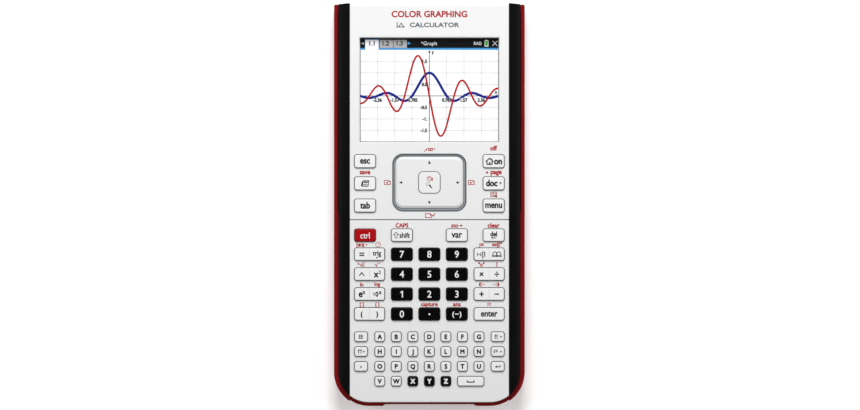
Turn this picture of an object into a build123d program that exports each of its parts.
"""Graphing calculator, about 190 x 90 x 15 mm, lying face up.

Row frame: +Z out of the keys, +Y towards the display end, +X to the right of someone reading it.
The origin is at the centre of the footprint, on the surface that the rubber feet stand on.
All sizes are in millimetres.
"""

import os
from collections import namedtuple

from build123d import *

# ---------------------------------------------------------------- overall size
LENGTH = 190.0
WIDTH = 90.0
HALF_L = LENGTH / 2
HALF_W = WIDTH / 2

OUTSIDE = 1.0  # cutting shapes start this far outside what they cut
DEEP = 5.0  # and run on at least this far
OVERLAP = 0.1  # joined shapes run this far into each other

# ---------------------------------------------------------------- levels above the table
CASE_Z = 0.6  # underside of the rear case: the feet stand this proud
FLOOR_Z = 2.2  # inside face of the rear case's floor
BOARD_Z = 8.4  # underside of the main board
BOARD_T = 1.0
RIM_Z = 11.6  # top of the rear case's rim
PLATE_Z = 12.8  # ledge of the front frame that carries the faceplates
PLATE_T = 1.4
FACE_Z = PLATE_Z + PLATE_T
CHEEK_IN_Z = 14.0  # cheek height beside the faceplates

# ---------------------------------------------------------------- plan of the shells
CORNER_R = 16.5  # big lower corners of the rear case
SIDE_PROUD = 0.5  # the side rims stand this far outside the bottom rim
CASE_TOP_Y = 94.4
CASE_WALL = 2.6
CASE_EDGE_R = 2.4
CASE_END_R = 0.9
CAVITY_BOTTOM_Y, CAVITY_TOP_Y = -92.4, 92.8
CAVITY_CORNER_R = 13.6
LIP_Z = 3.6  # top of the low lip at the display end
MOUTH_L = 10.0  # length of the opening above that lip
CHEEK_OUT_X = 42.95
CHEEK_IN_X = 37.6
CHEEK_CORNER_R = 14.4
CHEEK_END_SLOPE = 0.5  # the cheeks' far ends fall back this much at the outside
CROWN_EDGE_Z = 11.9  # the crown's curve: its outer edge, and a place on the way up
CROWN_MID_X, CROWN_MID_Z = 41.55, 13.4
FRAME_BOTTOM_Y = -93.25
FRAME_WALL_X = 42.3
FRAME_WALL_T = 1.5
PLATE_HALF_W = 37.5
PLATE_TOP_Y = 94.56
SEAM_Y = -7.19
SEAM_GAP = 0.36
BAR_W = 3.0  # cross bar of the frame under the seam
LEDGE_X = 36.2  # inner edge of the ledge under the faceplates
LEDGE_BOTTOM_Y, LEDGE_TOP_Y = -91.6, 92.0
LEDGE_CORNER_R = 7.0
TOP_WALL_IN_Y = 93.0
TOP_WALL_OUT_Y = 94.6
TOP_WALL_Z = 3.7
SKIRT_Z = 6.8  # lowest edge of the frame's skirt inside the rear case
SKIRT_BOTTOM_Y = -92.3
SKIRT_CORNER_R = 13.5
PLATE_END_R = 1.0  # rounding of the faceplates' display end, sides and seam
PLATE_SIDE_R = 0.4
SEAM_CHAMFER = 0.2
FIT = 0.1  # between the lower faceplate's round corners and the frame's
OPENING_R = 0.4
OPENING_CHAMFER = 0.25

# ---------------------------------------------------------------- slide-cover rails and dock recess
RAIL_END_Y = -3.65
RAIL_OUT_X = 43.4
RAIL_FLOOR_Z = 7.6
DOCK_HALF_W = 22.0
DOCK_DEPTH = 0.8
DOCK_SLOPE = 1.3
BOTTOM_STRIP_H = 24.0  # the bottom rim stands back within this height
SIDE_END_X = 37.7  # where the proud side rims stop on the lower corners

# ---------------------------------------------------------------- display
DISPLAY_W = 66.0
DISPLAY_H = 49.4
DISPLAY_Y = 54.1
WINDOW_GAP = 0.15
WINDOW_TOP_Z = 13.75
WINDOW_FLANGE = 1.4
LCD_W, LCD_H, LCD_T = 69.6, 56.0, 1.9
LCD_Y = 53.0
LCD_TOP_Z = 11.75
LCD_STEP_Y, LCD_STEP_Z = 2.0, 0.7  # step along the panel's connector edge
WINDOW_LIFT = 0.05  # between the panel and the window
WINDOW_SEAT = 0.1  # between the window's flange and the faceplate
BRACKET_T = 0.3
BRACKET_LIP = 1.5
BRACKET_GAP, BRACKET_WALL, BRACKET_SEAT = 0.05, 0.45, 0.02
BRACKET_HOLE_R = 3.0
BRACKET_HOLE_DX, BRACKET_HOLE_DY = 22.0, 18.0
BRACKET_HOLE_COLUMNS, BRACKET_HOLE_ROWS = 3, 2

# ---------------------------------------------------------------- touchpad
PAD_Y = 10.4
RING_W, RING_H, RING_R = 34.7, 27.0, 4.9
RING_T = 1.0
RING_BAND = 0.5  # outer band of the ring, above the step inside it
RING_STEP = 0.4
RING_EDGE_R = 0.15
RING_FIT = 0.12
RING_Z = 10.9
RING_TOP_Z = 14.5
PAD_GAP = 0.3
PAD_TOP_Z = 14.9
PAD_UNDER_Z = 12.9
PAD_BEVEL, PAD_BEVEL_DROP = 1.2, 0.7
PAD_EDGE_R = 0.5
PAD_LUG_W, PAD_LUG_T = 4.0, 1.2
PAD_LUG_BELOW = 0.7  # the lugs reach this far below the pivot
PAD_LUG_GAP = 0.4
PAD_PIN_ROOT, PAD_PIN_L = 0.3, 1.6
PIVOT_Z = 11.6
PIVOT_PIN_R = 0.45
PIVOT_HOLE_R = 0.5
CARRIER_T = 1.0
CARRIER_BOSS_T = 1.6  # thicker where the inner pins turn in it
CARRIER_RIM = 1.8
CARRIER_OUT_R, CARRIER_IN_R = 3.5, 1.8
CARRIER_PIN_ROOT, CARRIER_PIN_L = 0.5, 0.8  # the pins' roots, and how far they enter the ring
CLICK_W = 10.1
CLICK_R = 2.2
CLICK_TOP_Z = 14.8
CLICK_GAP = 0.25
CLICK_LIP = 0.8
CLICK_FLANGE_Z = 12.1
CLICK_FLANGE_T = 0.68
CLICK_EDGE_R = 0.35
CLICK_STEM_R = 1.6
CLICK_STEM_Z = 11.0
CLICK_STEM_L = 1.2
SENSOR_BOARD_W, SENSOR_BOARD_H, SENSOR_BOARD_R, SENSOR_BOARD_T = 31.0, 23.0, 1.5, 0.6
SENSOR_BOARD_LIFT = 0.1
SENSOR_DOME_R, SENSOR_DOME_T = 2.4, 0.25

# ---------------------------------------------------------------- keys
KEY_TOP_Z = 15.15
KEY_FLANGE_Z = 12.0
KEY_FLANGE_T = 0.68
KEY_FLANGE_LIP = 0.6
KEY_GAP = 0.3  # around each key in its faceplate
KEY_DRAFT = 0.08  # how much narrower a key is at its top than at the faceplate, each side
KEY_EDGE_R = 0.4
KEY_W, KEY_H, KEY_R = 9.85, 5.8, 1.0
SIDE_KEY_H = 6.05  # the six keys beside the touchpad are a little taller
WIDE_W = 14.1
LETTER_W, LETTER_H, LETTER_R = 4.55, 4.4, 1.0
END_W = 6.05
EDGE_X = 35.225  # outer edge of the outermost keys
DIGIT_DX, DIGIT_DY = 12.95, 9.38
DIGIT_TOP_Y = -23.42
CTRL_Y = -14.45
SIDE_TOP_Y, SIDE_DY = 20.4, 10.45
LETTER_DX, LETTER_DY = 7.79, 6.98
LETTER_TOP_Y = -62.3
LETTER_REACH = 3  # small letter keys on each side of a row's middle one
LETTER_FULL_ROWS = 3
LAST_LETTER = 1  # the last row's letter keys end this far right of the middle one
SPACE_W = 12.3
SPACE_COLUMN = 2.5  # its middle, counted in letter keys from the middle one
ROCKER_PIN_R = 0.5  # a rocking key turns on two pins trapped under the faceplate
ROCKER_PIN_PLAY = 0.05
ROCKER_PIN_Z = PLATE_Z - ROCKER_PIN_PLAY - ROCKER_PIN_R
CREASE_R = 0.15  # round groove down the middle of a rocking key
ROCKER_BOSS_X = 4.3
MEMBRANE_Z, MEMBRANE_T = 10.4, 0.6
SHEET_INSET = 0.8  # the sheet lies this far inside the ledge
SHEET_HALF_W = LEDGE_X - SHEET_INSET
SHEET_BOTTOM_Y = LEDGE_BOTTOM_Y + SHEET_INSET
SHEET_LOW_TOP_Y = -8.99
SHEET_CORNER_R = 6.5
SHEET_ARM_W = 16.0  # the sheet's two arms beside the touchpad
SHEET_TOP_Y = 22.9
BOSS_GAP = 0.03
BOSS_R = 1.6
DOME_R, DOME_H = 2.1, 0.35

# ---------------------------------------------------------------- main board
BOARD_HALF_W, BOARD_BOTTOM_Y, BOARD_TOP_Y, BOARD_CORNER_R = 39.0, -90.0, 92.4, 12.0
BOARD_NOTCH_W, BOARD_NOTCH_H = 7.4, 6.4
CHIPS = (  # x, y, width, height, thickness
    (-14, 48, 17, 17, 1.4),
    (8, 46, 12, 10, 1.0),
    (8, 60, 12, 10, 1.0),
    (-14, 70, 24, 16, 2.4),
    (24, 66, 8, 8, 1.2),
    (24, 48, 6, 5, 1.1),
)
SMALL_PART_X, SMALL_PART_Y = 22.0, 32.0  # middle of the block of small parts
SMALL_PART_DX, SMALL_PART_DY = 3.2, 3.0
SMALL_PART_COLUMNS, SMALL_PART_ROWS = 3, 4
SMALL_PART_W, SMALL_PART_H, SMALL_PART_T = 1.6, 0.8, 0.6

# ---------------------------------------------------------------- battery bay, in the back
DOOR_W, DOOR_L, DOOR_T = 50.0, 74.0, 1.4
DOOR_Y = -21.0  # centre of the door
DOOR_GAP = 0.25
DOOR_R, BAY_R = 1.3, 1.5
DOOR_EDGE_R = 0.3
LEDGE_W = 1.6  # the door rests on this much ledge all round
LEDGE_T = 0.8
BAY_WALL = 1.2
BAY_TOP_Z = 7.9
BATTERY_W, BATTERY_L, BATTERY_T = 46.0, 60.0, 5.2
BATTERY_Y = -24.0
BATTERY_Z = 2.35
BATTERY_EDGE_R = 1.8
HOOK_X, HOOK_W = 15.0, 6.0
HOOK_POCKET_W, HOOK_POCKET_L, HOOK_POCKET_H = 7.2, 5.0, 2.6
HOOK_LOW_Z, HOOK_UNDER_Z, HOOK_TOP_Z = 1.8, 2.45, 3.1
HOOK_REACH, HOOK_ROOT = 1.8, 1.3
GROOVE_L, GROOVE_W, GROOVE_PITCH, GROOVE_COUNT, GROOVE_DEPTH = 22.0, 1.0, 2.2, 4, 0.4
GROOVE_FROM_END = 9.0  # their middle, from the door's hooked end
DOOR_SCREW_Y = 12.2
DOOR_SCREW_TIP_Z = 7.2
DOOR_BOSS_Z, DOOR_BOSS_R = 3.8, 2.7
DOOR_WEB_W = 3.6
DOOR_CUP_R, DOOR_CUP_H = 3.0, 1.2  # cup round the screw on the inside of the door
CUP_HOLE_R, CUP_HOLE_TOP_Z = 3.4, 3.7
CONTACT_X, CONTACT_W, CONTACT_PITCH, CONTACT_COUNT = 10.0, 1.4, 3.0, 4
CONTACT_T = 0.3
CONTACT_LOW_Z, CONTACT_BEND_Z, CONTACT_TOP_BEND_Z = 3.6, 5.4, 6.2
CONTACT_BEND_RISE = 0.2
CONTACT_REACH = 2.0

# ---------------------------------------------------------------- screws, feet and small things in the back
SCREW_HEAD_R, SCREW_SHANK_R = 2.1, 1.0
SCREW_HEAD_T = 1.2
RECESS_L, RECESS_W, RECESS_DEPTH = 2.4, 0.55, 0.8  # cross recess
HEAD_GAP, SHANK_GAP = 0.2, 0.15
DOOR_SCREW_LIFT = 0.15  # the door's screw head sits this far above the door's face
CASE_SCREW_LIFT = 0.6
CASE_SCREW_TIP_Z = 9.8
COUNTERBORE = 1.8
CASE_BOSS_R, CASE_BOSS_H = 2.9, 1.9
POST_R, POST_Z, POST_TOP_Z = 2.4, 4.2, 11.9
POST_BORE = 6.4
POST_BORE_GAP = 0.02
SCREW_X, SCREW_Y = 38.7, 66.0
SCREW_SPOTS = [(sx * SCREW_X, sy * SCREW_Y) for sx in (-1, 1) for sy in (-1, 0, 1)]
FOOT_X, FOOT_Y = 32.0, 80.0
FOOT_SPOTS = [(sx * FOOT_X, sy * FOOT_Y) for sx in (-1, 1) for sy in (-1, 1)]
FOOT_L, FOOT_W, FOOT_T = 13.0, 5.0, 1.2
FOOT_EDGE_R = 0.3
FOOT_GLUE = 0.02
FOOT_GAP = 0.05
RESET_X, RESET_Y = 33.0, 30.0
RESET_HOLE_R = 1.3
RESET_TIP_R, RESET_TIP_Z, RESET_TIP_L = 1.1, 1.3, 1.2
RESET_FLANGE_R, RESET_FLANGE_T, RESET_FLANGE_LIFT = 1.9, 0.7, 0.1
RESET_STEM_R, RESET_STEM_Z, RESET_STEM_L = 0.8, 2.1, 5.6
RIB_COUNT, RIB_PITCH, RIB_Y = 4, 16.0, 54.0
RIB_L, RIB_T, RIB_H = 60.0, 1.0, 1.6

# ---------------------------------------------------------------- ports
USB_W, USB_H, USB_L = 7.7, 3.9, 9.0
USB_Z = BOARD_Z - USB_H / 2
USB_R, USB_IN_R, USB_WALL = 0.7, 0.4, 0.4
USB_DEPTH = 7.0
USB_TONGUE_W, USB_TONGUE_T, USB_TONGUE_UP = 3.8, 0.9, 0.4
USB_TONGUE_ROOT, USB_TONGUE_L = 7.2, 6.4
USB_GAP, USB_HOLE_R = 0.15, 0.8
PORT_CUT = 6.0  # how deep the cut-outs in the display end go
DOCK_W, DOCK_H, DOCK_L, DOCK_R = 24.0, 3.4, 6.0, 0.5
DOCK_Z = 6.2
DOCK_GAP, DOCK_HOLE_R = 0.2, 0.6
DOCK_CUT = 8.0
DOCK_BACK = 0.3  # the block's face stands this far back in its recess
DOCK_FRAME_GAP_X, DOCK_FRAME_GAP_Z = 0.5, 0.6
DOCK_CONTACTS = 10
DOCK_END_MARGIN = 3.0
CONTACT_PAD_W, CONTACT_PAD_MARGIN, CONTACT_PAD_DEPTH = 1.3, 1.2, 0.35
LIGHT_X, LIGHT_Z, LIGHT_R = 14.0, 10.9, 0.9
LIGHT_ROOT_Y, LIGHT_L, LIGHT_EDGE_R, LIGHT_GAP = 90.0, 4.7, 0.4, 0.05

Key = namedtuple("Key", "name x y w h r rocker")


def main_keys():
    """The thirty keys that have a node and a joint each."""
    edge_x = EDGE_X - KEY_W / 2
    wide_x = EDGE_X - WIDE_W / 2
    keys = []
    for sx, names in ((-1, ("esc", "scratchpad", "tab")), (1, ("home_on", "doc", "menu"))):
        for row, name in enumerate(names):
            keys.append(Key(name, sx * edge_x, SIDE_TOP_Y - row * SIDE_DY, KEY_W, SIDE_KEY_H, KEY_R, False))
    for name, x in (("ctrl", -edge_x), ("shift", -DIGIT_DX), ("var", DIGIT_DX), ("del", edge_x)):
        keys.append(Key(name, x, CTRL_Y, KEY_W, KEY_H, KEY_R, False))
    digit_rows = (("7", "8", "9"), ("4", "5", "6"), ("1", "2", "3"), ("0", "point", "negative"))
    left_wide = ("equals_trig", "power_square", "exp_tenpower", "parentheses")
    right_wide = ("template_catalog", "times_divide", "plus_minus", "enter")
    for row in range(len(digit_rows)):
        y = DIGIT_TOP_Y - row * DIGIT_DY
        for column, name in enumerate(digit_rows[row]):
            keys.append(Key(name, (column - 1) * DIGIT_DX, y, KEY_W, KEY_H, KEY_R, False))
        keys.append(Key(left_wide[row], -wide_x, y, WIDE_W, KEY_H, KEY_R, True))
        keys.append(Key(right_wide[row], wide_x, y, WIDE_W, KEY_H, KEY_R, right_wide[row] != "enter"))
    return keys


def letter_rows():
    """The four rows of letter keys: each row is one node of separate key caps."""
    end_x = EDGE_X - END_W / 2
    rows = []
    for row in range(LETTER_FULL_ROWS):
        y = LETTER_TOP_Y - row * LETTER_DY
        places = range(-LETTER_REACH, LETTER_REACH + 1)
        caps = [Key("", i * LETTER_DX, y, LETTER_W, LETTER_H, LETTER_R, False) for i in places]
        caps += [Key("", sx * end_x, y, END_W, LETTER_H, LETTER_R, False) for sx in (-1, 1)]
        rows.append(caps)
    y = LETTER_TOP_Y - LETTER_FULL_ROWS * LETTER_DY
    places = range(-LETTER_REACH, LAST_LETTER + 1)
    caps = [Key("", i * LETTER_DX, y, LETTER_W, LETTER_H, LETTER_R, False) for i in places]
    caps.append(Key("", SPACE_COLUMN * LETTER_DX, y, SPACE_W, LETTER_H, LETTER_R, False))
    rows.append(caps)
    return rows


MAIN_KEYS = main_keys()
LETTER_ROWS = letter_rows()
LETTER_KEYS = [key for row in LETTER_ROWS for key in row]


def save(part, name):
    """Labels a finished sub-part and writes it as one STEP file."""
    part.label = name
    export_step(part, f"parts/{name}.step")


def shell_outline(half_w, bottom, top, radius):
    """Plan of a shell: two big round lower corners and two square upper ones."""
    with BuildSketch() as plan:
        with Locations((0, (top + bottom) / 2)):
            Rectangle(2 * half_w, top - bottom)
        fillet(plan.vertices().group_by(Axis.Y)[0], radius)
    return plan.sketch


def key_holes(keys, gap):
    """Plan of the openings for keys, each larger than its key by gap all round."""
    with BuildSketch() as plan:
        for key in keys:
            with Locations((key.x, key.y)):
                RectangleRounded(key.w + 2 * gap, key.h + 2 * gap, key.r + gap)
    return plan.sketch


# ---------------------------------------------------------------- shells


def rear_case():
    """Tray that closes the back and sides, with the battery bay and the slide-cover rails."""
    bottom = -HALF_L - SIDE_PROUD
    door_top = DOOR_Y + DOOR_L / 2
    with BuildPart() as case:
        with BuildSketch(Plane.XY.offset(CASE_Z)):
            add(shell_outline(HALF_W, bottom, CASE_TOP_Y, CORNER_R))
        extrude(amount=RIM_Z - CASE_Z)
        under = case.faces().sort_by(Axis.Z)[0]
        fillet(under.edges() - under.edges().sort_by(Axis.Y)[-1:], CASE_EDGE_R)
        fillet(case.faces().sort_by(Axis.Y)[-1].edges() - case.edges().group_by(Axis.Z)[-1], CASE_END_R)

        # inside of the tray, open at the display end above a low lip
        with BuildSketch(Plane.XY.offset(FLOOR_Z)):
            add(shell_outline(HALF_W - CASE_WALL, CAVITY_BOTTOM_Y, CAVITY_TOP_Y, CAVITY_CORNER_R))
        extrude(amount=RIM_Z, mode=Mode.SUBTRACT)
        with BuildSketch(Plane.XY.offset(LIP_Z)):
            with Locations((0, HALF_L)):
                Rectangle(2 * (HALF_W - CASE_WALL), MOUTH_L)
        extrude(amount=RIM_Z, mode=Mode.SUBTRACT)

        # rail slots down both sides, open at the display end
        rail_w = RAIL_OUT_X - (HALF_W - CASE_WALL) + OVERLAP
        with BuildSketch(Plane.XY.offset(RAIL_FLOOR_Z)):
            for sx in (-1, 1):
                with Locations((sx * (RAIL_OUT_X - rail_w / 2), (RAIL_END_Y + HALF_L + DEEP) / 2)):
                    Rectangle(rail_w, HALF_L + DEEP - RAIL_END_Y)
        extrude(amount=RIM_Z, mode=Mode.SUBTRACT)

        # the bottom rim stands back a little from the proud side rims
        with BuildSketch(Plane.XY):
            with Locations((0, -HALF_L)):
                Rectangle(2 * SIDE_END_X, BOTTOM_STRIP_H)
            add(
                shell_outline(HALF_W - SIDE_PROUD, -HALF_L, HALF_L, CORNER_R - SIDE_PROUD),
                mode=Mode.SUBTRACT,
            )
        extrude(amount=RIM_Z + OUTSIDE, mode=Mode.SUBTRACT)

        # dock recess across the bottom end
        with BuildSketch(Plane.XY):
            with BuildLine():
                Polyline(
                    (-DOCK_HALF_W, -HALF_L - OUTSIDE),
                    (-DOCK_HALF_W, -HALF_L),
                    (-DOCK_HALF_W + DOCK_SLOPE, -HALF_L + DOCK_DEPTH),
                    (DOCK_HALF_W - DOCK_SLOPE, -HALF_L + DOCK_DEPTH),
                    (DOCK_HALF_W, -HALF_L),
                    (DOCK_HALF_W, -HALF_L - OUTSIDE),
                    close=True,
                )
            make_face()
        extrude(amount=RIM_Z + OUTSIDE, mode=Mode.SUBTRACT)
        with BuildSketch(Plane.XZ.offset(HALF_L + OUTSIDE)):
            with Locations((0, DOCK_Z)):
                RectangleRounded(DOCK_W + 2 * DOCK_GAP, DOCK_H + 2 * DOCK_GAP, DOCK_HOLE_R)
        extrude(amount=-DOCK_CUT, mode=Mode.SUBTRACT)

        # battery bay: ledge under the door's edge, walls round the pack
        with BuildSketch(Plane.XY.offset(FLOOR_Z - OVERLAP)):
            with Locations((0, DOOR_Y)):
                Rectangle(DOOR_W + 2 * LEDGE_W, DOOR_L + 2 * LEDGE_W)
        extrude(amount=LEDGE_T)
        with BuildSketch(Plane.XY.offset(FLOOR_Z)):
            with Locations((0, DOOR_Y)):
                Rectangle(DOOR_W, DOOR_L)
                Rectangle(DOOR_W - 2 * BAY_WALL, DOOR_L - 2 * BAY_WALL, mode=Mode.SUBTRACT)
        extrude(amount=BAY_TOP_Z - FLOOR_Z)
        with BuildSketch(Plane.XY):
            with Locations((0, DOOR_Y)):
                RectangleRounded(DOOR_W, DOOR_L, BAY_R)
        extrude(amount=FLOOR_Z - OVERLAP, mode=Mode.SUBTRACT)
        with BuildSketch(Plane.XY):
            with Locations((0, DOOR_Y)):
                Rectangle(DOOR_W - 2 * LEDGE_W, DOOR_L - 2 * LEDGE_W)
        extrude(amount=FLOOR_Z + LEDGE_T, mode=Mode.SUBTRACT)
        with BuildSketch(Plane.XY.offset(FLOOR_Z - OVERLAP)):
            with Locations(*[(sx * HOOK_X, DOOR_Y - DOOR_L / 2) for sx in (-1, 1)]):
                Rectangle(HOOK_POCKET_W, HOOK_POCKET_L)
        extrude(amount=HOOK_POCKET_H, mode=Mode.SUBTRACT)

        # boss for the door's screw, tied to the end wall of the bay
        with BuildSketch(Plane.XY.offset(DOOR_BOSS_Z)):
            with Locations((0, DOOR_SCREW_Y)):
                Circle(DOOR_BOSS_R)
            with Locations((0, (DOOR_SCREW_Y + door_top) / 2)):
                Rectangle(DOOR_WEB_W, door_top - DOOR_SCREW_Y)
            with Locations((0, DOOR_SCREW_Y)):
                Circle(SCREW_SHANK_R + DOOR_GAP, mode=Mode.SUBTRACT)
        extrude(amount=BAY_TOP_Z - DOOR_BOSS_Z)
        with BuildSketch(Plane.XY):
            with Locations((0, DOOR_SCREW_Y)):
                Circle(CUP_HOLE_R)
        extrude(amount=CUP_HOLE_TOP_Z, mode=Mode.SUBTRACT)

        # screw posts, counterbored from the back
        with BuildSketch(Plane.XY.offset(FLOOR_Z - OVERLAP)):
            with Locations(*SCREW_SPOTS):
                Circle(CASE_BOSS_R)
        extrude(amount=CASE_BOSS_H)
        with Locations(*[Location((x, y, CASE_Z), (180, 0, 0)) for x, y in SCREW_SPOTS]):
            CounterBoreHole(SCREW_SHANK_R + SHANK_GAP, SCREW_HEAD_R + HEAD_GAP, COUNTERBORE, depth=DEEP)

        # pockets for the feet and the reset hole
        with BuildSketch(Plane.XY):
            with Locations(*FOOT_SPOTS):
                RectangleRounded(FOOT_L + 2 * FOOT_GAP, FOOT_W + 2 * FOOT_GAP, FOOT_W / 2)
        extrude(amount=FOOT_T, mode=Mode.SUBTRACT)
        with Locations((RESET_X, RESET_Y)):
            Hole(RESET_HOLE_R)

        # stiffening ribs across the floor under the display
        with BuildSketch(Plane.XY.offset(FLOOR_Z - OVERLAP)):
            with GridLocations(0, RIB_PITCH, 1, RIB_COUNT):
                with Locations((0, RIB_Y)):
                    Rectangle(RIB_L, RIB_T)
        extrude(amount=RIB_H)
    save(case.part, "rear_case")


def front_frame():
    """Black frame whose two sides show as the cheeks; its ledge carries the faceplates."""
    with BuildPart() as frame:
        # crown: cheeks, ledge and cross bar
        with BuildSketch(Plane.XY.offset(RIM_Z)):
            with BuildLine():
                Polyline(
                    (-CHEEK_OUT_X, 0),
                    (-CHEEK_OUT_X, HALF_L - CHEEK_END_SLOPE),
                    (-CHEEK_IN_X, HALF_L),
                    (-CHEEK_IN_X, TOP_WALL_OUT_Y),
                    (CHEEK_IN_X, TOP_WALL_OUT_Y),
                    (CHEEK_IN_X, HALF_L),
                    (CHEEK_OUT_X, HALF_L - CHEEK_END_SLOPE),
                    (CHEEK_OUT_X, 0),
                    close=True,
                )
            make_face()
            add(shell_outline(CHEEK_OUT_X, FRAME_BOTTOM_Y, OUTSIDE, CHEEK_CORNER_R))
        extrude(amount=CHEEK_IN_Z - RIM_Z)
        # the crown's top falls away in a gentle curve towards both sides
        with BuildSketch(Plane.XZ):
            with BuildLine():
                Polyline((HALF_W, 0), (-HALF_W, 0), (-HALF_W, CROWN_EDGE_Z))
                ThreePointArc(
                    (-HALF_W, CROWN_EDGE_Z),
                    (-CROWN_MID_X, CROWN_MID_Z),
                    (-CHEEK_IN_X, CHEEK_IN_Z),
                )
                Line((-CHEEK_IN_X, CHEEK_IN_Z), (CHEEK_IN_X, CHEEK_IN_Z))
                ThreePointArc(
                    (CHEEK_IN_X, CHEEK_IN_Z),
                    (CROWN_MID_X, CROWN_MID_Z),
                    (HALF_W, CROWN_EDGE_Z),
                )
                Line((HALF_W, CROWN_EDGE_Z), (HALF_W, 0))
            make_face()
        extrude(amount=HALF_L + DEEP, both=True, mode=Mode.INTERSECT)

        # pocket for the faceplates, and the two windows through the ledge
        with BuildSketch(Plane.XY.offset(PLATE_Z)):
            Rectangle(2 * CHEEK_IN_X, LENGTH + 2 * DEEP)
        extrude(amount=DEEP, mode=Mode.SUBTRACT)
        with BuildSketch(Plane.XY.offset(RIM_Z - OUTSIDE)):
            with Locations((0, (SEAM_Y + BAR_W / 2 + LEDGE_TOP_Y) / 2)):
                Rectangle(2 * LEDGE_X, LEDGE_TOP_Y - SEAM_Y - BAR_W / 2)
            add(shell_outline(LEDGE_X, LEDGE_BOTTOM_Y, SEAM_Y - BAR_W / 2, LEDGE_CORNER_R))
        extrude(amount=DEEP, mode=Mode.SUBTRACT)

        # skirt inside the rear case, and the display end's wall
        inner_w = FRAME_WALL_X - FRAME_WALL_T
        inner_bottom = SKIRT_BOTTOM_Y + FRAME_WALL_T
        with BuildSketch(Plane.XY.offset(SKIRT_Z)):
            add(shell_outline(FRAME_WALL_X, SKIRT_BOTTOM_Y, TOP_WALL_IN_Y, SKIRT_CORNER_R))
            add(
                shell_outline(inner_w, inner_bottom, HALF_L, SKIRT_CORNER_R - FRAME_WALL_T),
                mode=Mode.SUBTRACT,
            )
        extrude(amount=RIM_Z - SKIRT_Z)
        with BuildSketch(Plane.XY.offset(TOP_WALL_Z)):
            with Locations((0, (TOP_WALL_IN_Y + TOP_WALL_OUT_Y) / 2)):
                Rectangle(2 * FRAME_WALL_X, TOP_WALL_OUT_Y - TOP_WALL_IN_Y)
        extrude(amount=PLATE_Z - TOP_WALL_Z)

        # screw posts
        with BuildSketch(Plane.XY.offset(POST_Z)):
            with Locations(*SCREW_SPOTS):
                Circle(POST_R)
        extrude(amount=POST_TOP_Z - POST_Z)
        with BuildSketch(Plane.XY.offset(POST_Z)):
            with Locations(*SCREW_SPOTS):
                Circle(SCREW_SHANK_R + POST_BORE_GAP)
        extrude(amount=POST_BORE, mode=Mode.SUBTRACT)

        # cut-outs for the ports and the status light
        with BuildSketch(Plane.XZ.offset(-HALF_L - OUTSIDE)):
            with Locations((0, USB_Z)):
                RectangleRounded(USB_W + 2 * USB_GAP, USB_H + 2 * USB_GAP, USB_HOLE_R)
            with Locations((LIGHT_X, LIGHT_Z)):
                Circle(LIGHT_R + LIGHT_GAP)
        extrude(amount=PORT_CUT, mode=Mode.SUBTRACT)
        with BuildSketch(Plane.XZ.offset(HALF_L)):
            with Locations((0, DOCK_Z)):
                Rectangle(DOCK_W + 2 * DOCK_FRAME_GAP_X, DOCK_H + 2 * DOCK_FRAME_GAP_Z)
        extrude(amount=-DOCK_CUT, mode=Mode.SUBTRACT)
    save(frame.part, "front_frame")


def upper_faceplate():
    """White plate round the display, the touchpad and the six keys beside it."""
    keys = [key for key in MAIN_KEYS if key.y > SEAM_Y]
    bottom = SEAM_Y + SEAM_GAP / 2
    with BuildPart() as plate:
        with BuildSketch(Plane.XY.offset(PLATE_Z)):
            with Locations((0, (bottom + PLATE_TOP_Y) / 2)):
                Rectangle(2 * PLATE_HALF_W, PLATE_TOP_Y - bottom)
        extrude(amount=PLATE_T)
        top = plate.faces().sort_by(Axis.Z)[-1]
        fillet(top.edges().sort_by(Axis.Y)[-1], PLATE_END_R)
        fillet(plate.faces().sort_by(Axis.Z)[-1].edges().filter_by(Axis.Y), PLATE_SIDE_R)
        chamfer(plate.faces().sort_by(Axis.Z)[-1].edges().sort_by(Axis.Y)[0], SEAM_CHAMFER)
        with BuildSketch(Plane.XY.offset(PLATE_Z)):
            with Locations((0, DISPLAY_Y)):
                RectangleRounded(DISPLAY_W, DISPLAY_H, OPENING_R)
            with Locations((0, PAD_Y)):
                RectangleRounded(RING_W + 2 * RING_FIT, RING_H + 2 * RING_FIT, RING_R + RING_FIT)
            add(key_holes(keys, KEY_GAP))
        extrude(amount=PLATE_T, mode=Mode.SUBTRACT)
        face = plate.faces().filter_by(Plane.XY).sort_by(Axis.Z)[-1]
        window = face.inner_wires().sort_by(lambda w: w.length)[-1]
        chamfer(window.edges(), OPENING_CHAMFER)
    save(plate.part, "upper_faceplate")


def lower_faceplate():
    """White plate round the keypad, with the case's big lower corners."""
    keys = [key for key in MAIN_KEYS if key.y < SEAM_Y] + LETTER_KEYS
    top_y = SEAM_Y - SEAM_GAP / 2
    with BuildPart() as plate:
        with BuildSketch(Plane.XY.offset(PLATE_Z)):
            add(shell_outline(CHEEK_OUT_X - FIT, FRAME_BOTTOM_Y + FIT, top_y, CHEEK_CORNER_R - FIT))
            with Locations((0, -HALF_L / 2)):
                Rectangle(2 * PLATE_HALF_W, LENGTH, mode=Mode.INTERSECT)
        extrude(amount=PLATE_T)
        top = plate.faces().sort_by(Axis.Z)[-1]
        seam = top.edges().sort_by(Axis.Y)[-1]
        fillet(top.edges() - ShapeList([seam]), PLATE_SIDE_R)
        chamfer(plate.faces().sort_by(Axis.Z)[-1].edges().sort_by(Axis.Y)[-1], SEAM_CHAMFER)
        with BuildSketch(Plane.XY.offset(PLATE_Z)):
            add(key_holes(keys, KEY_GAP))
        extrude(amount=PLATE_T, mode=Mode.SUBTRACT)
    save(plate.part, "lower_faceplate")


# ---------------------------------------------------------------- display


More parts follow.
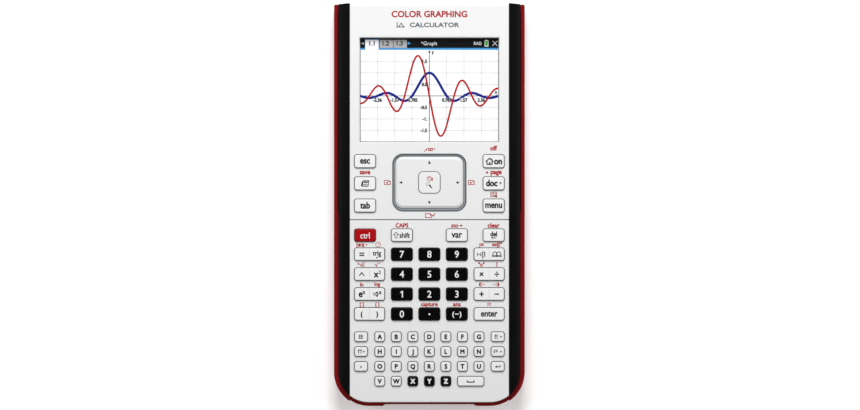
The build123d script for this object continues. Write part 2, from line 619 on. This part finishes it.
def display_window():
    """Clear stepped window: its flange sits under the faceplate, its face fills the opening."""
    gap = 2 * WINDOW_GAP
    under = LCD_TOP_Z + WINDOW_LIFT
    flange_top = PLATE_Z - WINDOW_SEAT
    with BuildPart() as window:
        with BuildSketch(Plane.XY.offset(under)):
            with Locations((0, DISPLAY_Y)):
                Rectangle(DISPLAY_W + 2 * WINDOW_FLANGE, DISPLAY_H + 2 * WINDOW_FLANGE)
        extrude(amount=flange_top - under)
        with BuildSketch(Plane.XY.offset(flange_top)):
            with Locations((0, DISPLAY_Y)):
                RectangleRounded(DISPLAY_W - gap, DISPLAY_H - gap, OPENING_R)
        extrude(amount=WINDOW_TOP_Z - flange_top)
    save(window.part, "display_window")


def lcd_panel():
    """Colour display panel, with its thinner connector edge below the picture."""
    with BuildPart() as panel:
        with BuildSketch(Plane.XY.offset(LCD_TOP_Z - LCD_T)):
            with Locations((0, LCD_Y)):
                Rectangle(LCD_W, LCD_H)
        extrude(amount=LCD_T)
        with BuildSketch(Plane.XY.offset(LCD_TOP_Z)):
            with Locations((0, LCD_Y - (LCD_H - LCD_STEP_Y) / 2)):
                Rectangle(LCD_W, LCD_STEP_Y)
        extrude(amount=-LCD_STEP_Z, mode=Mode.SUBTRACT)
    save(panel.part, "lcd_panel")


def lcd_bracket():
    """Pressed metal tray that holds the panel off the main board."""
    under = LCD_TOP_Z - LCD_T - BRACKET_SEAT
    outer = 2 * (BRACKET_GAP + BRACKET_WALL)
    with BuildPart() as bracket:
        with BuildSketch(Plane.XY.offset(under - BRACKET_T)):
            with Locations((0, LCD_Y)):
                Rectangle(LCD_W + outer, LCD_H + outer)
        extrude(amount=BRACKET_T + BRACKET_LIP)
        with BuildSketch(Plane.XY.offset(under)):
            with Locations((0, LCD_Y)):
                Rectangle(LCD_W + 2 * BRACKET_GAP, LCD_H + 2 * BRACKET_GAP)
        extrude(amount=DEEP, mode=Mode.SUBTRACT)
        with BuildSketch(Plane.XY.offset(under - OUTSIDE)):
            with Locations((0, LCD_Y)):
                with GridLocations(BRACKET_HOLE_DX, BRACKET_HOLE_DY, BRACKET_HOLE_COLUMNS, BRACKET_HOLE_ROWS):
                    Circle(BRACKET_HOLE_R)
        extrude(amount=DEEP, mode=Mode.SUBTRACT)
    save(bracket.part, "lcd_bracket")


# ---------------------------------------------------------------- touchpad


def touchpad_ring():
    """Slate-coloured ring that lines the touchpad's opening and carries its gimbal."""
    with BuildPart() as ring:
        with BuildSketch(Plane.XY.offset(RING_Z)):
            with Locations((0, PAD_Y)):
                RectangleRounded(RING_W, RING_H, RING_R)
                RectangleRounded(
                    RING_W - 2 * RING_T, RING_H - 2 * RING_T, RING_R - RING_T, mode=Mode.SUBTRACT
                )
        extrude(amount=RING_TOP_Z - RING_Z)
        with BuildSketch(Plane.XY.offset(RING_TOP_Z)):
            with Locations((0, PAD_Y)):
                RectangleRounded(RING_W - 2 * RING_BAND, RING_H - 2 * RING_BAND, RING_R - RING_BAND)
        extrude(amount=-RING_STEP, mode=Mode.SUBTRACT)
        fillet(ring.faces().sort_by(Axis.Z)[-1].edges(), RING_EDGE_R)
        with BuildSketch(Plane.YZ.offset(-RING_W)):
            with Locations((PAD_Y, PIVOT_Z)):
                Circle(PIVOT_HOLE_R)
        extrude(amount=2 * RING_W, mode=Mode.SUBTRACT)
    save(ring.part, "touchpad_ring")


def touchpad_carrier():
    """Gimbal frame: it tips towards the top and bottom edges on two pins in the ring."""
    outer_w = RING_W - 2 * RING_T - 2 * PAD_GAP
    outer_h = RING_H - 2 * RING_T - 2 * PAD_GAP
    inner_w = outer_w - 2 * CARRIER_RIM
    inner_h = outer_h - 2 * CARRIER_RIM
    with BuildPart() as carrier:
        with BuildSketch(Plane.XY.offset(PIVOT_Z - CARRIER_T / 2)):
            with Locations((0, PAD_Y)):
                RectangleRounded(outer_w, outer_h, CARRIER_OUT_R)
                RectangleRounded(inner_w, inner_h, CARRIER_IN_R, mode=Mode.SUBTRACT)
        extrude(amount=CARRIER_T)
        with BuildSketch(Plane.XY.offset(PIVOT_Z - CARRIER_BOSS_T / 2)):
            with Locations(*[(0, PAD_Y + sy * (outer_h - CARRIER_RIM) / 2) for sy in (-1, 1)]):
                Rectangle(PAD_LUG_W, CARRIER_RIM)
        extrude(amount=CARRIER_BOSS_T)
        for sx in (-1, 1):
            with BuildSketch(Plane.YZ.offset(sx * (outer_w / 2 - CARRIER_PIN_ROOT))):
                with Locations((PAD_Y, PIVOT_Z)):
                    Circle(PIVOT_PIN_R)
            extrude(amount=sx * (CARRIER_PIN_ROOT + PAD_GAP + CARRIER_PIN_L))
        with BuildSketch(Plane.XZ.offset(-PAD_Y - RING_H)):
            with Locations((0, PIVOT_Z)):
                Circle(PIVOT_HOLE_R)
        extrude(amount=2 * RING_H, mode=Mode.SUBTRACT)
    save(carrier.part, "touchpad_carrier")


def touch_surface():
    """The plate that a finger strokes: it rocks left and right on two pins in the carrier."""
    width = RING_W - 2 * RING_T - 2 * PAD_GAP
    height = RING_H - 2 * RING_T - 2 * PAD_GAP
    lug_y = height / 2 - CARRIER_RIM - PAD_LUG_GAP
    with BuildPart() as surface:
        with BuildSketch(Plane.XY.offset(PAD_UNDER_Z)):
            with Locations((0, PAD_Y)):
                RectangleRounded(width, height, RING_R - RING_T - PAD_GAP)
        extrude(amount=PAD_TOP_Z - PAD_UNDER_Z)
        chamfer(surface.faces().sort_by(Axis.Z)[-1].edges(), PAD_BEVEL_DROP, PAD_BEVEL)
        fillet(surface.faces().sort_by(Axis.Z)[-1].edges(), PAD_EDGE_R)
        with BuildSketch(Plane.XY.offset(PAD_UNDER_Z)):
            with Locations((0, PAD_Y)):
                RectangleRounded(CLICK_W + 2 * CLICK_GAP, CLICK_W + 2 * CLICK_GAP, CLICK_R + CLICK_GAP)
        extrude(amount=DEEP, mode=Mode.SUBTRACT)
        for sy in (-1, 1):
            with BuildSketch(Plane.XY.offset(PIVOT_Z - PAD_LUG_BELOW)):
                with Locations((0, PAD_Y + sy * (lug_y - PAD_LUG_T / 2))):
                    Rectangle(PAD_LUG_W, PAD_LUG_T)
            extrude(amount=PAD_UNDER_Z - PIVOT_Z + PAD_LUG_BELOW + OVERLAP)
            with BuildSketch(Plane.XZ.offset(-PAD_Y - sy * (lug_y - PAD_PIN_ROOT))):
                with Locations((0, PIVOT_Z)):
                    Circle(PIVOT_PIN_R)
            extrude(amount=-sy * PAD_PIN_L)
    save(surface.part, "touch_surface")


def touchpad_click_key():
    """Square key in the middle of the touch surface, held under it by a flange."""
    with BuildPart() as key:
        with BuildSketch(Plane.XY.offset(CLICK_FLANGE_Z)):
            with Locations((0, PAD_Y)):
                RectangleRounded(CLICK_W + 2 * CLICK_LIP, CLICK_W + 2 * CLICK_LIP, CLICK_R)
        extrude(amount=CLICK_FLANGE_T)
        with BuildSketch(Plane.XY.offset(CLICK_FLANGE_Z)):
            with Locations((0, PAD_Y)):
                RectangleRounded(CLICK_W, CLICK_W, CLICK_R)
        extrude(amount=CLICK_TOP_Z - CLICK_FLANGE_Z)
        fillet(key.faces().sort_by(Axis.Z)[-1].edges(), CLICK_EDGE_R)
        with BuildSketch(Plane.XY.offset(CLICK_STEM_Z)):
            with Locations((0, PAD_Y)):
                Circle(CLICK_STEM_R)
        extrude(amount=CLICK_STEM_L)
    save(key.part, "touchpad_click_key")


def touchpad_board():
    """Sensor board under the touchpad, on the main board."""
    under = BOARD_Z + BOARD_T + SENSOR_BOARD_LIFT
    with BuildPart() as board:
        with BuildSketch(Plane.XY.offset(under)):
            with Locations((0, PAD_Y)):
                RectangleRounded(SENSOR_BOARD_W, SENSOR_BOARD_H, SENSOR_BOARD_R)
        extrude(amount=SENSOR_BOARD_T)
        with BuildSketch(Plane.XY.offset(under + SENSOR_BOARD_T)):
            with Locations((0, PAD_Y)):
                Circle(SENSOR_DOME_R)
        extrude(amount=SENSOR_DOME_T)
    save(board.part, "touchpad_board")


# ---------------------------------------------------------------- keys


def key_cap(key):
    """One key cap: drafted sides and soft top edges, held by a flange or by two pivot pins."""
    held_h = key.h + 2 * KEY_FLANGE_LIP
    with BuildPart() as cap:
        with BuildSketch(Plane.XY.offset(KEY_FLANGE_Z)):
            with Locations((key.x, key.y)):
                RectangleRounded(key.w, key.h, key.r)
        extrude(amount=FACE_Z - KEY_FLANGE_Z)
        for z, inset in ((FACE_Z, 0), (KEY_TOP_Z, KEY_DRAFT)):
            with BuildSketch(Plane.XY.offset(z)):
                with Locations((key.x, key.y)):
                    RectangleRounded(key.w - 2 * inset, key.h - 2 * inset, key.r - inset)
        loft()
        fillet(cap.faces().sort_by(Axis.Z)[-1].edges(), KEY_EDGE_R)
        if key.rocker:
            with BuildSketch(Plane.XZ.offset(-key.y - held_h / 2)):
                with Locations((key.x, ROCKER_PIN_Z)):
                    Circle(ROCKER_PIN_R)
            extrude(amount=held_h)
            with BuildSketch(Plane.XZ.offset(-key.y - key.h)):
                with Locations((key.x, KEY_TOP_Z)):
                    Circle(CREASE_R)
            extrude(amount=2 * key.h, mode=Mode.SUBTRACT)
        else:
            with BuildSketch(Plane.XY.offset(KEY_FLANGE_Z)):
                with Locations((key.x, key.y)):
                    RectangleRounded(key.w + 2 * KEY_FLANGE_LIP, held_h, key.r)
            extrude(amount=KEY_FLANGE_T)
    return cap.part


def keys():
    """Every main key as its own sub-part, and each row of letter keys as one."""
    for key in MAIN_KEYS:
        save(key_cap(key), f"key_{key.name}")
    for number, row in enumerate(LETTER_ROWS, 1):
        save(Compound(children=[key_cap(key) for key in row]), f"letter_keys_row_{number}")


def boss_spots():
    """Where a key presses the membrane: one place for a plain key, two for a rocking one."""
    spots = []
    for key in MAIN_KEYS + LETTER_KEYS:
        offsets = (-ROCKER_BOSS_X, ROCKER_BOSS_X) if key.rocker else (0,)
        spots += [(key.x + dx, key.y) for dx in offsets]
    return spots


def key_membrane():
    """Silicone sheet with a boss under each key, cut away round the touchpad."""
    arm_low = SHEET_LOW_TOP_Y - OUTSIDE
    arm_y = (arm_low + SHEET_TOP_Y) / 2
    arm_x = SHEET_HALF_W - SHEET_ARM_W / 2
    with BuildPart() as membrane:
        with BuildSketch(Plane.XY.offset(MEMBRANE_Z)):
            add(shell_outline(SHEET_HALF_W, SHEET_BOTTOM_Y, SHEET_LOW_TOP_Y, SHEET_CORNER_R))
            with Locations((-arm_x, arm_y), (arm_x, arm_y)):
                Rectangle(SHEET_ARM_W, SHEET_TOP_Y - arm_low)
        extrude(amount=MEMBRANE_T)
        with BuildSketch(Plane.XY.offset(MEMBRANE_Z + MEMBRANE_T)):
            with Locations(*boss_spots()):
                Circle(BOSS_R)
        extrude(amount=KEY_FLANGE_Z - BOSS_GAP - MEMBRANE_Z - MEMBRANE_T)
    save(membrane.part, "key_membrane")


def snap_domes():
    """Metal snap domes on the main board, one under each boss of the membrane."""
    with BuildPart() as domes:
        with Locations(*[(x, y, BOARD_Z + BOARD_T) for x, y in boss_spots()]):
            Cone(DOME_R, DOME_R / 2, DOME_H, align=(Align.CENTER, Align.CENTER, Align.MIN))
    save(domes.part, "snap_domes")


# ---------------------------------------------------------------- electronics


def main_board():
    """Main circuit board, notched round the frame's screw posts."""
    with BuildPart() as board:
        with BuildSketch(Plane.XY.offset(BOARD_Z)):
            add(shell_outline(BOARD_HALF_W, BOARD_BOTTOM_Y, BOARD_TOP_Y, BOARD_CORNER_R))
            with Locations(*SCREW_SPOTS):
                Rectangle(BOARD_NOTCH_W, BOARD_NOTCH_H, mode=Mode.SUBTRACT)
        extrude(amount=BOARD_T)
    save(board.part, "main_board")


def board_chips():
    """Processor, memories, a shield can and small parts under the main board."""
    with BuildPart() as parts:
        for x, y, w, h, t in CHIPS:
            with BuildSketch(Plane.XY.offset(BOARD_Z)):
                with Locations((x, y)):
                    Rectangle(w, h)
            extrude(amount=-t)
        with BuildSketch(Plane.XY.offset(BOARD_Z)):
            with Locations((SMALL_PART_X, SMALL_PART_Y)):
                with GridLocations(SMALL_PART_DX, SMALL_PART_DY, SMALL_PART_COLUMNS, SMALL_PART_ROWS):
                    Rectangle(SMALL_PART_W, SMALL_PART_H)
        extrude(amount=-SMALL_PART_T)
    save(parts.part, "board_chips")


def usb_port():
    """Small five-contact socket at the display end: metal shell, tongue inside."""
    with BuildPart() as port:
        with BuildSketch(Plane.XZ.offset(-PLATE_TOP_Y + USB_L)):
            with Locations((0, USB_Z)):
                RectangleRounded(USB_W, USB_H, USB_R)
        extrude(amount=-USB_L)
        with BuildSketch(Plane.XZ.offset(-PLATE_TOP_Y)):
            with Locations((0, USB_Z)):
                RectangleRounded(USB_W - 2 * USB_WALL, USB_H - 2 * USB_WALL, USB_IN_R)
        extrude(amount=USB_DEPTH, mode=Mode.SUBTRACT)
        with BuildSketch(Plane.XZ.offset(-PLATE_TOP_Y + USB_TONGUE_ROOT)):
            with Locations((0, USB_Z + USB_TONGUE_UP)):
                Rectangle(USB_TONGUE_W, USB_TONGUE_T)
        extrude(amount=-USB_TONGUE_L)
    save(port.part, "usb_port")


def status_light():
    """Clear light pipe beside the socket that shows the charge lamp."""
    with BuildPart() as light:
        with BuildSketch(Plane.XZ.offset(-LIGHT_ROOT_Y)):
            with Locations((LIGHT_X, LIGHT_Z)):
                Circle(LIGHT_R)
        extrude(amount=-LIGHT_L)
        fillet(light.edges().sort_by(Axis.Y)[-1], LIGHT_EDGE_R)
    save(light.part, "status_light")


def dock_connector():
    """Contact block in the bottom end, for a charging dock or a plug-on module."""
    face_y = -HALF_L + DOCK_DEPTH + DOCK_BACK
    pitch = (DOCK_W - DOCK_END_MARGIN) / DOCK_CONTACTS
    with BuildPart() as block:
        with BuildSketch(Plane.XZ.offset(-face_y)):
            with Locations((0, DOCK_Z)):
                RectangleRounded(DOCK_W, DOCK_H, DOCK_R)
        extrude(amount=-DOCK_L)
        with BuildSketch(Plane.XZ.offset(-face_y)):
            with Locations((0, DOCK_Z)):
                with GridLocations(pitch, 1, DOCK_CONTACTS, 1):
                    Rectangle(CONTACT_PAD_W, DOCK_H - CONTACT_PAD_MARGIN)
        extrude(amount=-CONTACT_PAD_DEPTH, mode=Mode.SUBTRACT)
    save(block.part, "dock_connector")


# ---------------------------------------------------------------- battery


def battery_pack():
    """Flat rechargeable pack with rounded long edges."""
    with BuildPart() as pack:
        with BuildSketch(Plane.XY.offset(BATTERY_Z)):
            with Locations((0, BATTERY_Y)):
                Rectangle(BATTERY_W, BATTERY_L)
        extrude(amount=BATTERY_T)
        fillet(pack.edges().filter_by(Axis.Y), BATTERY_EDGE_R)
    save(pack.part, "battery_pack")


def battery_contacts():
    """Four sprung contact strips between the pack and the main board."""
    end_y = BATTERY_Y + BATTERY_L / 2 + OVERLAP
    far_y = end_y + CONTACT_REACH
    with BuildPart() as contacts:
        with BuildSketch(Plane.YZ.offset(CONTACT_X)):
            with BuildLine():
                Polyline(
                    (end_y, CONTACT_LOW_Z),
                    (end_y, CONTACT_BEND_Z + CONTACT_BEND_RISE),
                    (far_y, CONTACT_TOP_BEND_Z + CONTACT_BEND_RISE),
                    (far_y, BOARD_Z),
                    (far_y + CONTACT_T, BOARD_Z),
                    (far_y + CONTACT_T, CONTACT_TOP_BEND_Z),
                    (end_y + CONTACT_T, CONTACT_BEND_Z),
                    (end_y + CONTACT_T, CONTACT_LOW_Z),
                    close=True,
                )
            make_face()
        extrude(amount=CONTACT_W)
        strip = contacts.part
        with Locations(*[(place * CONTACT_PITCH, 0, 0) for place in range(1, CONTACT_COUNT)]):
            add(strip)
    save(contacts.part, "battery_contacts")


def battery_door():
    """Door over the battery: two hooks at its lower edge, one captive screw at the other."""
    low_y = DOOR_Y - DOOR_L / 2 + DOOR_GAP
    with BuildPart() as door:
        with BuildSketch(Plane.XY.offset(CASE_Z)):
            with Locations((0, DOOR_Y)):
                RectangleRounded(DOOR_W - 2 * DOOR_GAP, DOOR_L - 2 * DOOR_GAP, DOOR_R)
        extrude(amount=DOOR_T)
        for sx in (-1, 1):
            with BuildSketch(Plane.YZ.offset(sx * HOOK_X - HOOK_W / 2)):
                with BuildLine():
                    Polyline(
                        (low_y, HOOK_LOW_Z),
                        (low_y, HOOK_UNDER_Z),
                        (low_y - HOOK_REACH, HOOK_UNDER_Z),
                        (low_y - HOOK_REACH, HOOK_TOP_Z),
                        (low_y + HOOK_ROOT, HOOK_TOP_Z),
                        (low_y + HOOK_ROOT, HOOK_LOW_Z),
                        close=True,
                    )
                make_face()
            extrude(amount=HOOK_W)
        with BuildSketch(Plane.XY.offset(CASE_Z + DOOR_T)):
            with Locations((0, DOOR_SCREW_Y)):
                Circle(DOOR_CUP_R)
        extrude(amount=DOOR_CUP_H)
        with BuildSketch(Plane.XY):
            with Locations((0, DOOR_SCREW_Y)):
                Circle(SCREW_HEAD_R + DOOR_GAP)
        extrude(amount=CASE_Z + DOOR_T, mode=Mode.SUBTRACT)
        with Locations((0, DOOR_SCREW_Y)):
            Hole(SCREW_SHANK_R + SHANK_GAP)
        # finger grooves near the hooks
        with BuildSketch(Plane.XY.offset(CASE_Z)):
            with Locations((0, DOOR_Y - DOOR_L / 2 + GROOVE_FROM_END)):
                with GridLocations(0, GROOVE_PITCH, 1, GROOVE_COUNT):
                    SlotOverall(GROOVE_L, GROOVE_W)
        extrude(amount=GROOVE_DEPTH, mode=Mode.SUBTRACT)
        fillet(door.faces().sort_by(Axis.Z)[0].outer_wire().edges(), DOOR_EDGE_R)
    save(door.part, "battery_door")


def screw(name, spots, head_z, tip_z):
    """Pan-head screws with a cross recess, pointing up into the case."""
    with BuildPart() as screws:
        with BuildSketch(Plane.XY.offset(head_z)):
            with Locations(*spots):
                Circle(SCREW_HEAD_R)
        extrude(amount=SCREW_HEAD_T)
        with BuildSketch(Plane.XY.offset(head_z + SCREW_HEAD_T)):
            with Locations(*spots):
                Circle(SCREW_SHANK_R)
        extrude(amount=tip_z - head_z - SCREW_HEAD_T)
        with BuildSketch(Plane.XY.offset(head_z)):
            with Locations(*spots):
                Rectangle(RECESS_L, RECESS_W)
                Rectangle(RECESS_W, RECESS_L)
        extrude(amount=RECESS_DEPTH, mode=Mode.SUBTRACT)
    save(screws.part, name)


def rubber_feet():
    """Four oval rubber feet, glued into shallow pockets."""
    with BuildPart() as feet:
        with BuildSketch(Plane.XY):
            with Locations(*FOOT_SPOTS):
                SlotOverall(FOOT_L, FOOT_W)
        extrude(amount=FOOT_T - FOOT_GLUE)
        fillet(feet.edges().group_by(Axis.Z)[0], FOOT_EDGE_R)
    save(feet.part, "rubber_feet")


def reset_button():
    """Recessed reset button in the back, with a flange inside the case."""
    with BuildPart() as button:
        with BuildSketch(Plane.XY.offset(RESET_TIP_Z)):
            with Locations((RESET_X, RESET_Y)):
                Circle(RESET_TIP_R)
        extrude(amount=RESET_TIP_L)
        with BuildSketch(Plane.XY.offset(FLOOR_Z + RESET_FLANGE_LIFT)):
            with Locations((RESET_X, RESET_Y)):
                Circle(RESET_FLANGE_R)
        extrude(amount=RESET_FLANGE_T)
        with BuildSketch(Plane.XY.offset(RESET_STEM_Z)):
            with Locations((RESET_X, RESET_Y)):
                Circle(RESET_STEM_R)
        extrude(amount=RESET_STEM_L)
    save(button.part, "reset_button")


def main():
    """Builds every sub-part of the calculator."""
    os.makedirs("parts", exist_ok=True)
    rear_case()
    front_frame()
    upper_faceplate()
    lower_faceplate()
    display_window()
    lcd_panel()
    lcd_bracket()
    touchpad_ring()
    touchpad_carrier()
    touch_surface()
    touchpad_click_key()
    touchpad_board()
    keys()
    key_membrane()
    snap_domes()
    main_board()
    board_chips()
    usb_port()
    status_light()
    dock_connector()
    battery_pack()
    battery_contacts()
    battery_door()
    screw("battery_door_screw", [(0, DOOR_SCREW_Y)], CASE_Z + DOOR_SCREW_LIFT, DOOR_SCREW_TIP_Z)
    screw("case_screws", SCREW_SPOTS, CASE_Z + CASE_SCREW_LIFT, CASE_SCREW_TIP_Z)
    rubber_feet()
    reset_button()


main()
